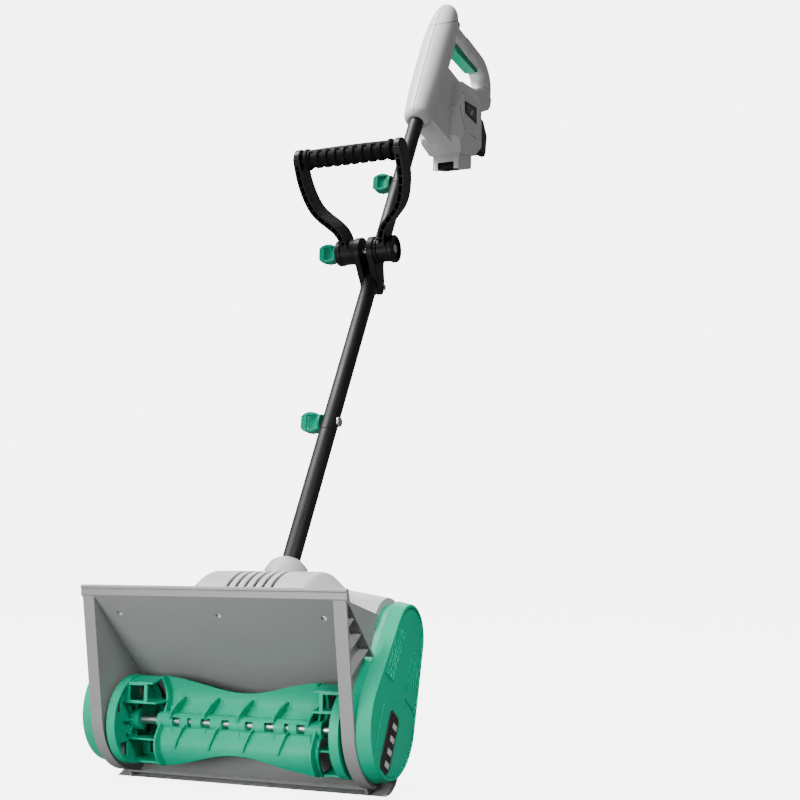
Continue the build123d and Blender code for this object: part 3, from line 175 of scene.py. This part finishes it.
class Tree:
    """Short names for building a material's nodes."""

    def __init__(self, name):
        self.material = bpy.data.materials.new(name)
        self.material.use_nodes = True
        self.nodes = self.material.node_tree.nodes
        self.links = self.material.node_tree.links
        self.shader = self.nodes["Principled BSDF"]
        self.coords = self.nodes.new("ShaderNodeTexCoord").outputs["Object"]

    def add(self, kind, **values):
        node = self.nodes.new(kind)
        for key, value in values.items():
            if hasattr(node, key):
                setattr(node, key, value)
            else:
                self.put(node.inputs[key.replace("_", " ")], value)
        return node

    def put(self, socket, value):
        if isinstance(value, bpy.types.NodeSocket):
            self.links.new(value, socket)
        else:
            socket.default_value = value

    def noise(self, scale, detail, stretch=None, rough=0.5):
        coords = self.coords
        if stretch:
            mapping = self.add("ShaderNodeMapping", Vector=coords)
            mapping.inputs["Scale"].default_value = stretch
            coords = mapping.outputs["Vector"]
        node = self.add("ShaderNodeTexNoise", Vector=coords, Scale=scale, Detail=detail, Roughness=rough)
        return node.outputs["Fac"]

    def spread(self, value, low, high):
        """A noise value's usual range mapped to low..high."""
        node = self.add("ShaderNodeMapRange")
        self.put(node.inputs["Value"], value)
        node.inputs["From Min"].default_value = NOISE_LOW
        node.inputs["From Max"].default_value = NOISE_HIGH
        node.inputs["To Min"].default_value = low
        node.inputs["To Max"].default_value = high
        return node.outputs["Result"]

    def part(self, value, share):
        node = self.add("ShaderNodeMath", operation="MULTIPLY")
        self.put(node.inputs[0], value)
        self.put(node.inputs[1], share)
        return node.outputs["Value"]

    def mix(self, factor, a, b):
        node = self.add("ShaderNodeMix", data_type="RGBA")
        self.put(node.inputs["Factor"], factor)
        self.put(node.inputs["A"], a)
        self.put(node.inputs["B"], b)
        return node.outputs["Result"]

    def bump(self, height, strength, distance, normal):
        node = self.add("ShaderNodeBump", Strength=strength, Distance=distance, Height=height, Normal=normal)
        return node.outputs["Normal"]

    def edge_mask(self, radius):
        """1 along edges and 0 on flat faces, from how far a rounded normal turns, and that normal."""
        bevel = self.add("ShaderNodeBevel", samples=6, Radius=radius)
        geometry = self.add("ShaderNodeNewGeometry")
        dot = self.add("ShaderNodeVectorMath", operation="DOT_PRODUCT")
        self.put(dot.inputs[0], bevel.outputs["Normal"])
        self.put(dot.inputs[1], geometry.outputs["Normal"])
        node = self.add("ShaderNodeMapRange")
        self.put(node.inputs["Value"], dot.outputs["Value"])
        node.inputs["From Min"].default_value = EDGE_START
        node.inputs["From Max"].default_value = EDGE_FULL
        return node.outputs["Result"], bevel.outputs["Normal"]


def shade(colour, factor):
    """The colour made darker or paler by a factor."""
    return (*[min(c * factor, 1.0) for c in colour[:3]], 1.0)


PLASTIC_EDGE = 0.0005
PLASTIC_GRAIN_DEPTH = 0.00004


def plastic(name, colour, rough=0.42, grain=900.0, edge_highlight=1.12, gloss=0.4, coat=0.0):
    """Moulded plastic: spark-eroded grain, slow flow marks in colour and gloss, softened edges painted paler
    as a highlight.
    """
    tree = Tree(name)
    flow = tree.noise(9.0, detail=4.0)
    cloud = tree.noise(60.0, detail=5.0, rough=0.6)
    grains = tree.noise(grain, detail=2.0, rough=0.7)
    body = tree.mix(tree.spread(flow, 0.0, 1.0), shade(colour, 0.965), shade(colour, 1.035))
    mottled = tree.mix(tree.spread(cloud, 0.0, 0.35), body, shade(colour, 0.93))
    mask, rounded = tree.edge_mask(PLASTIC_EDGE)
    # Painted highlight: the base colour turns paler along the edges, by the given factor.
    tree.put(tree.shader.inputs["Base Color"], tree.mix(tree.part(mask, 0.4), mottled, shade(colour, edge_highlight)))
    tree.put(tree.shader.inputs["Roughness"], tree.spread(cloud, rough - 0.05, rough + 0.07))
    tree.put(tree.shader.inputs["Normal"], tree.bump(grains, 0.3, PLASTIC_GRAIN_DEPTH, rounded))
    tree.shader.inputs["Specular IOR Level"].default_value = gloss
    tree.shader.inputs["Coat Weight"].default_value = coat
    tree.shader.inputs["Coat Roughness"].default_value = 0.25
    return tree.material


def rubber(name, colour):
    """Soft-touch rubber: fine pebbled surface with a little dust in the hollows, and edges painted paler as a
    highlight.
    """
    tree = Tree(name)
    pebbles = tree.add("ShaderNodeTexVoronoi", Vector=tree.coords, Scale=1400.0).outputs["Distance"]
    dust = tree.noise(45.0, detail=6.0, rough=0.65)
    mask, rounded = tree.edge_mask(radius=0.0008)
    body = tree.mix(tree.spread(dust, 0.0, 0.5), colour, shade(colour, 1.7))
    # Painted highlight: the base colour turns paler along the edges.
    tree.put(tree.shader.inputs["Base Color"], tree.mix(tree.part(mask, 0.4), body, shade(colour, 1.8)))
    tree.put(tree.shader.inputs["Roughness"], tree.spread(dust, 0.62, 0.82))
    tree.put(tree.shader.inputs["Normal"], tree.bump(pebbles, 0.5, 0.00012, rounded))
    tree.shader.inputs["Specular IOR Level"].default_value = 0.15
    return tree.material


def powder_coat(name, colour):
    """Powder-coated steel tube: orange-peel surface, faint scuffs along the tube."""
    tree = Tree(name)
    peel = tree.noise(420.0, detail=1.5)
    scuffs = tree.noise(30.0, detail=8.0, stretch=(6.0, 1.0, 0.7), rough=0.7)
    body = tree.mix(tree.spread(scuffs, 0.0, 0.5), colour, shade(colour, 1.5))
    tree.put(tree.shader.inputs["Base Color"], body)
    tree.put(tree.shader.inputs["Roughness"], tree.spread(scuffs, 0.42, 0.56))
    _, rounded = tree.edge_mask(radius=0.0006)
    tree.put(tree.shader.inputs["Normal"], tree.bump(peel, 0.25, 0.0001, rounded))
    tree.shader.inputs["Specular IOR Level"].default_value = 0.3
    return tree.material


def metal(name, colour, rough=0.3):
    """Plated or brushed metal: fine lines along X, cloudy tarnish, and edges painted brighter as a highlight.
    """
    tree = Tree(name)
    lines = tree.noise(260.0, detail=4.0, stretch=(1.0, 30.0, 30.0), rough=0.7)
    tarnish = tree.noise(38.0, detail=5.0)
    mask, rounded = tree.edge_mask(radius=0.0004)
    body = tree.mix(tree.spread(tarnish, 0.0, 0.8), shade(colour, 0.78), colour)
    # Painted highlight: the base colour turns paler along the edges.
    tree.put(tree.shader.inputs["Base Color"], tree.mix(tree.part(mask, 0.5), body, shade(colour, 1.25)))
    tree.put(tree.shader.inputs["Roughness"], tree.spread(lines, rough - 0.06, rough + 0.12))
    tree.put(tree.shader.inputs["Normal"], tree.bump(lines, 0.2, 0.00005, rounded))
    tree.shader.inputs["Metallic"].default_value = 1.0
    return tree.material


# How much paler the edges of green and of black plastic are painted, as a highlight.
GREEN_EDGE_HIGHLIGHT = 1.25
BLACK_EDGE_HIGHLIGHT = 1.8

MATERIALS = {
    # The scoop's grey is the housing's plastic set darker, as painted shade for the shaded inside of the
    # scoop.
    "scoop_grey": plastic("scoop_grey", (0.225, 0.23, 0.226, 1), rough=0.46, grain=1100.0),
    "cover_green": plastic("cover_green", (0.0, 0.36, 0.20, 1), rough=0.4, grain=1300.0,
                           edge_highlight=GREEN_EDGE_HIGHLIGHT, gloss=0.12),
    "knob_green": plastic("knob_green", (0.0, 0.24, 0.14, 1), rough=0.36, grain=1300.0,
                          edge_highlight=GREEN_EDGE_HIGHLIGHT, gloss=0.15),
    "edge_black": plastic("edge_black", (0.002, 0.002, 0.0022, 1), rough=0.5, edge_highlight=BLACK_EDGE_HIGHLIGHT, gloss=0.15),
    "housing_grey": plastic("housing_grey", (0.44, 0.445, 0.44, 1), rough=0.4, grain=1200.0),
    "handle_grey": plastic("handle_grey", (0.78, 0.785, 0.78, 1), rough=0.4, grain=1200.0),
    "dark_plastic": plastic("dark_plastic", (0.005, 0.005, 0.0052, 1), rough=0.44,
                            edge_highlight=BLACK_EDGE_HIGHLIGHT, gloss=0.24),
    "pole_black": powder_coat("pole_black", (0.005, 0.005, 0.0055, 1)),
    "soft_black": rubber("soft_black", (0.006, 0.006, 0.0062, 1)),
    "steel": metal("steel", (0.50, 0.51, 0.52, 1)),
    "brass": metal("brass", (0.66, 0.47, 0.20, 1), rough=0.26),
    "aluminium": metal("aluminium", (0.62, 0.63, 0.64, 1), rough=0.34),
    "can_steel": powder_coat("can_steel", (0.09, 0.09, 0.095, 1)),
    "board_green": plastic("board_green", (0.02, 0.10, 0.04, 1), rough=0.3, coat=0.5),
    "cable_black": rubber("cable_black", (0.006, 0.006, 0.006, 1)),
}


def paint_nodes():
    """Give every CAD node its slot's material."""
    for part in frame["record"]["subparts"]:
        node = NODES[part["node"]]
        node.data.materials.clear()
        node.data.materials.append(MATERIALS[part["material_slot"]])


paint_nodes()


# ---- Detail pieces: helpers ---------------------------------------------------------------------
X_AXIS = Vector((1, 0, 0))
POLE_FOOT = Vector((0, 0.0927, 0.2296))
POLE_LEAN = radians(58.93)
POLE_UP = Vector((0, cos(POLE_LEAN), sin(POLE_LEAN)))
POLE_BACK = Vector((0, POLE_UP.z, -POLE_UP.y))

# A bead's section, across and up, in shares of its width and height.
BEAD_SECTION = [(-0.5, -0.5), (-0.36, 0.55), (0.0, 1.0), (0.36, 0.55), (0.5, -0.5)]

# How far a plate's back is sunk into the face that it lies on, in mm.
PLATE_SINK = 0.2


def pole_place(s, t, x=0.0):
    """The point s mm up the pole from its foot, t mm behind its axis and x mm to the side."""
    return POLE_FOOT + POLE_UP * (s * MM) + POLE_BACK * (t * MM) + X_AXIS * (x * MM)


def smooth_step(start, end, value):
    at = min(max((value - start) / (end - start), 0.0), 1.0)
    return at * at * (3 - 2 * at)


def surface(*names):
    """Search tree over the surfaces of CAD nodes."""
    mesh = bmesh.new()
    for name in names:
        mesh.from_mesh(NODES[name].data)
    tree = BVHTree.FromBMesh(mesh)
    mesh.free()
    return tree


def add_piece(name, verts, faces, body, slot, smooth=True):
    """A piece that rides on a body, its faces turned outwards."""
    mesh = bpy.data.meshes.new(name)
    mesh.from_pydata([tuple(v) for v in verts], [], faces)
    solid = bmesh.new()
    solid.from_mesh(mesh)
    bmesh.ops.recalc_face_normals(solid, faces=solid.faces)
    solid.to_mesh(mesh)
    solid.free()
    for polygon in mesh.polygons:
        polygon.use_smooth = smooth
    mesh.materials.append(MATERIALS[slot])
    piece = bpy.data.objects.new(name, mesh)
    bpy.context.scene.collection.objects.link(piece)
    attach(piece, body)
    return piece


def loft_rings(rings, closed_path=False):
    """Vertices and faces of a skin over closed rings of equal length, with caps if the path is open."""
    size, count = len(rings[0]), len(rings)
    faces = []
    for k in range(count if closed_path else count - 1):
        for j in range(size):
            after, ahead = (j + 1) % size, (k + 1) % count
            faces.append((k * size + j, k * size + after, ahead * size + after, ahead * size + j))
    if not closed_path:
        faces += [tuple(range(size)), tuple(range((count - 1) * size, count * size))]
    return [v for ring in rings for v in ring], faces


def add_bead(name, points, normals, width_height, slot, closed=False):
    """Low crowned bead on the frame that follows points on a surface, its edges sunk into it."""
    width, height = (value * MM for value in width_height)
    rings = []
    for k, (point, normal) in enumerate(zip(points, normals)):
        ahead = points[(k + 1) % len(points)] if closed else points[min(k + 1, len(points) - 1)]
        behind = points[k - 1] if closed else points[max(k - 1, 0)]
        across = normal.cross(ahead - behind).normalized()
        rings.append([point + across * (u * width) + normal * (v * height) for u, v in BEAD_SECTION])
    return add_piece(name, *loft_rings(rings, closed), "frame", slot)


def add_plate(name, outline, x, thickness, inset, slot):
    """Thin plate on a side face of the frame: an outline in the side view with a chamfered outer edge.

    The outline, the thickness and the inset are in mm; x is the face's place in metres.
    """
    outer = [Vector(p) for p in outline]
    middle = sum(outer, Vector((0, 0))) / len(outer)
    inner = [p + (middle - p).normalized() * inset for p in outer]
    sign = 1 if x > 0 else -1
    levels = [(-PLATE_SINK, outer), (thickness * 0.5, outer), (thickness, inner)]
    rings = [[Vector((x + sign * out * MM, p.x * MM, p.y * MM)) for p in ring] for out, ring in levels]
    return add_piece(name, *loft_rings(rings), "frame", slot, smooth=False)


def cast_line(tree, origins, direction, longest):
    """Where rays from the origins meet the surface, with its normals turned against the rays."""
    points, normals = [], []
    for origin in origins:
        hit, normal, _, far = tree.ray_cast(origin, direction)
        if hit is not None and far < longest:
            points.append(hit)
            normals.append(normal if normal.dot(direction) < 0 else -normal)
    return points, normals


def between_points(points, step):
    """Points along a polyline, about a step apart."""
    line = []
    for a, b in zip(points, points[1:]):
        count = max(int((b - a).length / step), 1)
        line += [a.lerp(b, k / count) for k in range(count)]
    return line + [points[-1]]


def side_points(outline, x):
    """Points of a side-view outline in mm, at x metres."""
    return [Vector((x, y * MM, z * MM)) for y, z in outline]


# ---- Grip of the assist handle --------------------------------------------------------------------
# From the grip down the arms, and square to the arms on their front.
ARM_DOWN = Vector((0, 0.4347, -0.9006)).normalized()
GRIP_FRONT = ARM_DOWN.cross(X_AXIS).normalized()

# In mm. The inner and outer values of a pocket or collar are where its wall ends and starts.
GRIP_RADIUS = 12.9
GRIP_TAPER = 0.9
COLLAR_RADIUS = 13.9
COLLAR_INNER = 3.6
COLLAR_OUTER = 4.2
POCKET_PITCH = 12.6
POCKET_INNER = 2.7
POCKET_OUTER = 3.3
POCKET_DEPTH = 2.3

# The row of pockets ends this many pitches from the middle.
POCKET_ROW = 4.55
# Direction that the pockets face, from the front towards the arms, and the cosines from that
# direction where their floor starts and where it is at full depth.
POCKET_TURN = radians(22)
POCKET_SHALLOW = 0.05
POCKET_FULL = 0.22

GRIP_STEPS = 484
GRIP_SIDES = 96


def grip_ring(middle, x, half):
    """Section of the sleeve at x metres from its middle."""
    pitch = POCKET_PITCH * MM
    crown = GRIP_RADIUS * MM - GRIP_TAPER * MM * (x / half) ** 2
    from_pocket = abs((x / pitch + 0.5) % 1.0 - 0.5) * pitch
    pocket = 0.0
    if abs(x) < POCKET_ROW * pitch:
        pocket = smooth_step(POCKET_OUTER * MM, POCKET_INNER * MM, from_pocket)
    collar = smooth_step(half - COLLAR_OUTER * MM, half - COLLAR_INNER * MM, abs(x))
    ring = []
    for j in range(GRIP_SIDES):
        angle = 2 * pi * j / GRIP_SIDES
        towards = cos(angle) * GRIP_FRONT + sin(angle) * ARM_DOWN
        facing = cos(angle - POCKET_TURN)
        deep = pocket * smooth_step(POCKET_SHALLOW, POCKET_FULL, facing) * POCKET_DEPTH * MM
        radius = crown - deep + (COLLAR_RADIUS * MM - crown) * collar
        ring.append(middle + X_AXIS * x + towards * radius)
    return ring


def add_grip():
    """Crowned soft sleeve with a row of pockets round its front and lower half, and a collar each end."""
    low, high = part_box("grip_sleeve")
    middle = (low + high) / 2
    half = (high.x - low.x) / 2
    rings = [grip_ring(middle, -half + 2 * half * k / GRIP_STEPS, half) for k in range(GRIP_STEPS + 1)]
    grip = add_piece("grip_cover", *loft_rings(rings), "assist_handle", "soft_black")
    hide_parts("grip_sleeve")


# ---- Parting lines of the main handle, drawn as dark beads that paint the shadow in the seams -----
# Width and height in mm of the dark bead that paints a seam's shadow.
HANDLE_SEAM = (0.9, 0.1)

# Down the front of the body: mm along the pole, beside the seam's plane and in front of the axis, and
# the rays' length in metres.
BODY_SEAM_START = 734
BODY_SEAM_END = 980
BODY_SEAM_STEP = 3
BODY_SEAM_X = 0.4
BODY_SEAM_RAY_START = 60
BODY_SEAM_RAY_LENGTH = 0.1

# Round the tip cap: the front corner and slope of the cap's edge, and in mm how far below that edge
# the seam runs and how far up the slope the middle of its rays lies.
CAP_CORNER = Vector((0, 0.549, 1.0298))
CAP_SLOPE = Vector((0, cos(radians(24)), sin(radians(24))))
CAP_SEAM_BELOW = 0.4
CAP_SEAM_MIDDLE = 23.5
# Rays towards that middle: where they start, how near to it they must meet the shell, both in metres,
# the degrees between them and how many lie each side of the front.
CAP_RAY_START = 0.07
CAP_RAY_REACH = 0.034
CAP_RAY_STEP = 2.5
CAP_RAYS_EACH_SIDE = 52


def add_body_seam():
    shells = surface("tip_cap", "handle_shell_right")
    places = range(BODY_SEAM_START, BODY_SEAM_END + 1, BODY_SEAM_STEP)
    origins = [pole_place(s, -BODY_SEAM_RAY_START, BODY_SEAM_X) for s in places]
    points, normals = cast_line(shells, origins, POLE_BACK, BODY_SEAM_RAY_LENGTH)
    # Painted shadow: a dark bead down the seam stands for the shade in its groove.
    add_bead("body_seam_shadow", points, normals, HANDLE_SEAM, "edge_black")


def add_cap_seam():
    shells = surface("handle_shell_right", "handle_shell_left")
    upwards = Vector((0, -CAP_SLOPE.z, CAP_SLOPE.y))
    middle = CAP_CORNER - upwards * (CAP_SEAM_BELOW * MM) + CAP_SLOPE * (CAP_SEAM_MIDDLE * MM)
    points, normals = [], []
    for k in range(-CAP_RAYS_EACH_SIDE, CAP_RAYS_EACH_SIDE + 1):
        angle = radians(k * CAP_RAY_STEP)
        towards = -cos(angle) * CAP_SLOPE + sin(angle) * X_AXIS
        hit, normal, _, _ = shells.ray_cast(middle + towards * CAP_RAY_START, -towards)
        if hit is not None and (hit - middle).length < CAP_RAY_REACH:
            points.append(hit)
            normals.append(normal if normal.dot(towards) > 0 else -normal)
    # Painted shadow: a dark bead round the cap's seam stands for the shade in its groove.
    add_bead("cap_seam_shadow", points, normals, HANDLE_SEAM, "edge_black")


# ---- Battery box: panel lines and vents in painted shade, and the label's panel -------------------
# Outlines in the side view: y and z in mm.
BOX_LINES = {
    "panel_line_shadow_front": [(575, 869.5), (568.5, 876.5), (565.5, 894), (564, 908)],
    "panel_line_shadow_low": [(592, 869.4), (630, 870)],
}
BOX_SLOTS = {
    "box_slot_shade_high": [(571, 926.5), (606, 928.6), (606, 926.4), (571, 924.3)],
    "box_slot_shade_rear": [(633.6, 929), (647.3, 923.5), (647, 917), (636, 918.5)],
}
LABEL_PANEL = [(581, 911), (618, 913.4), (618, 896.5), (582, 898.5)]
LABEL_MARK = [(594, 898.5), (603, 899.5), (611, 909), (602.5, 908)]

# Width and height of a line and spacing of its points, in mm.
BOX_LINE = (0.8, 0.12)
BOX_LINE_STEP = 2
# Where rays onto a side start and how long they are, in metres.
BOX_OUTSIDE = 0.06
SIDE_RAY_LENGTH = 0.05

# In mm.
SLOT_BELOW_FACE = 0.15
SLOT_THICKNESS = 0.12
PANEL_THICKNESS = 0.15
MARK_THICKNESS = 0.1
PLATE_INSET = 0.3
PANEL_INSET = 0.4


def add_box_side(shell, sign, side):
    """Panel lines and vents on one side of the battery box, drawn dark to paint the shade in their grooves and
    openings.
    """
    tree = surface(shell)
    for name, line in BOX_LINES.items():
        origins = between_points(side_points(line, sign * BOX_OUTSIDE), BOX_LINE_STEP * MM)
        points, normals = cast_line(tree, origins, X_AXIS * -sign, SIDE_RAY_LENGTH)
        # Painted shade: dark beads along the panel lines stand for the shade in their grooves.
        add_bead(f"{name}_{side}", points, normals, BOX_LINE, "edge_black")
    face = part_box(shell)[1 if sign > 0 else 0].x
    for name, outline in BOX_SLOTS.items():
        back = face - sign * SLOT_BELOW_FACE * MM
        # Painted shade: dark plates in the vent slots stand for the shade inside the openings.
        add_plate(f"{name}_{side}", outline, back, SLOT_THICKNESS, PLATE_INSET, "edge_black")


def add_box_label():
    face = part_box("label_frame")[1].x
    add_plate("label_panel", LABEL_PANEL, face, PANEL_THICKNESS, PANEL_INSET, "can_steel")
    front = face + PANEL_THICKNESS * MM
    add_plate("label_mark", LABEL_MARK, front, MARK_THICKNESS, PLATE_INSET, "housing_grey")


# ---- Side covers: label and ridges ----------------------------------------------------------------
# Outlines in the side view: y and z in mm.
LABEL_BAR = [(-24.5, 34.5), (-15.5, 29.0), (-12.6, 34.0), (-21.6, 39.5)]
LABEL_BAR_STEP = (6.6, 11.4)
LABEL_BARS = 4
LABEL_EDGE = [(-4.8, 84.6), (9.9, 75.2), (9.9, 69.6), (-13.2, 29.2),
              (-20.6, 26.5), (-33.2, 35.0), (-32.0, 41.2), (-9.0, 82.8)]
COVER_LINES = {
    "lower_panel_edge": [(-46, 52), (-29, 86), (-24, 93.5), (-4.3, 98.4),
                         (3, 91), (27, 88), (31, 84), (46, 77)],
    "upper_panel_edge": [(62, 138.8), (48.3, 136.6), (44.7, 132.7), (31.6, 93), (35, 89.5), (49.5, 80.6)],
    "rib_field_foot": [(-22.5, 125.3), (-20.8, 122.6), (-1.6, 113.4), (0.6, 114.2)],
}

# Width and height of a bead and spacing of its points, in mm.
LABEL_BORDER = (0.6, 0.08)
LABEL_BORDER_STEP = 3
COVER_RIDGE = (1.5, 0.4)
COVER_RIDGE_STEP = 1.5
BAR_THICKNESS = 0.1
# Where rays onto a cover start, in metres.
COVER_OUTSIDE = 0.2


def add_cover_label():
    """Border and plain slanted bars on the belt cover's label."""
    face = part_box("cover_label")[1].x
    step_y, step_z = LABEL_BAR_STEP
    for k in range(LABEL_BARS):
        bar = [(y + step_y * k, z + step_z * k) for y, z in LABEL_BAR]
        add_plate(f"cover_bar_{k}", bar, face, BAR_THICKNESS, PLATE_INSET, "housing_grey")
    edge = side_points([*LABEL_EDGE, LABEL_EDGE[0]], face)
    points = between_points(edge, LABEL_BORDER_STEP * MM)
    add_bead("cover_label_border", points, [X_AXIS] * len(points), LABEL_BORDER, "can_steel")


def add_cover_ridges(cover, sign, side):
    """Raised ridges along the edges of a cover's relief panels."""
    tree = surface(cover)
    for name, line in COVER_LINES.items():
        origins = between_points(side_points(line, sign * COVER_OUTSIDE), COVER_RIDGE_STEP * MM)
        points, _ = cast_line(tree, origins, X_AXIS * -sign, SIDE_RAY_LENGTH)
        outwards = [X_AXIS * sign] * len(points)
        add_bead(f"{name}_{side}", points, outwards, COVER_RIDGE, "cover_green")


# ---- Gaskets where the pole's tubes meet ----------------------------------------------------------
# Width and height, distance up the pole and radius, in mm.
POLE_GASKET = (1.3, 0.18)
POLE_GASKETS = {"pole_gasket_low": 182.0, "pole_gasket_high": 600.0}
POLE_RADIUS = 10.5
GASKET_POINTS = 64


def add_pole_gaskets():
    angles = [2 * pi * k / GASKET_POINTS for k in range(GASKET_POINTS)]
    normals = [X_AXIS * cos(angle) + POLE_BACK * sin(angle) for angle in angles]
    for name, s in POLE_GASKETS.items():
        points = [pole_place(s, 0) + normal * (POLE_RADIUS * MM) for normal in normals]
        add_bead(name, points, normals, POLE_GASKET, "edge_black", closed=True)


add_grip()
add_body_seam()
add_cap_seam()
add_box_side("handle_shell_right", 1, "right")
add_box_side("handle_shell_left", -1, "left")
add_box_label()
add_cover_label()
add_cover_ridges("belt_cover", 1, "right")
add_cover_ridges("left_cover", -1, "left")
add_pole_gaskets()
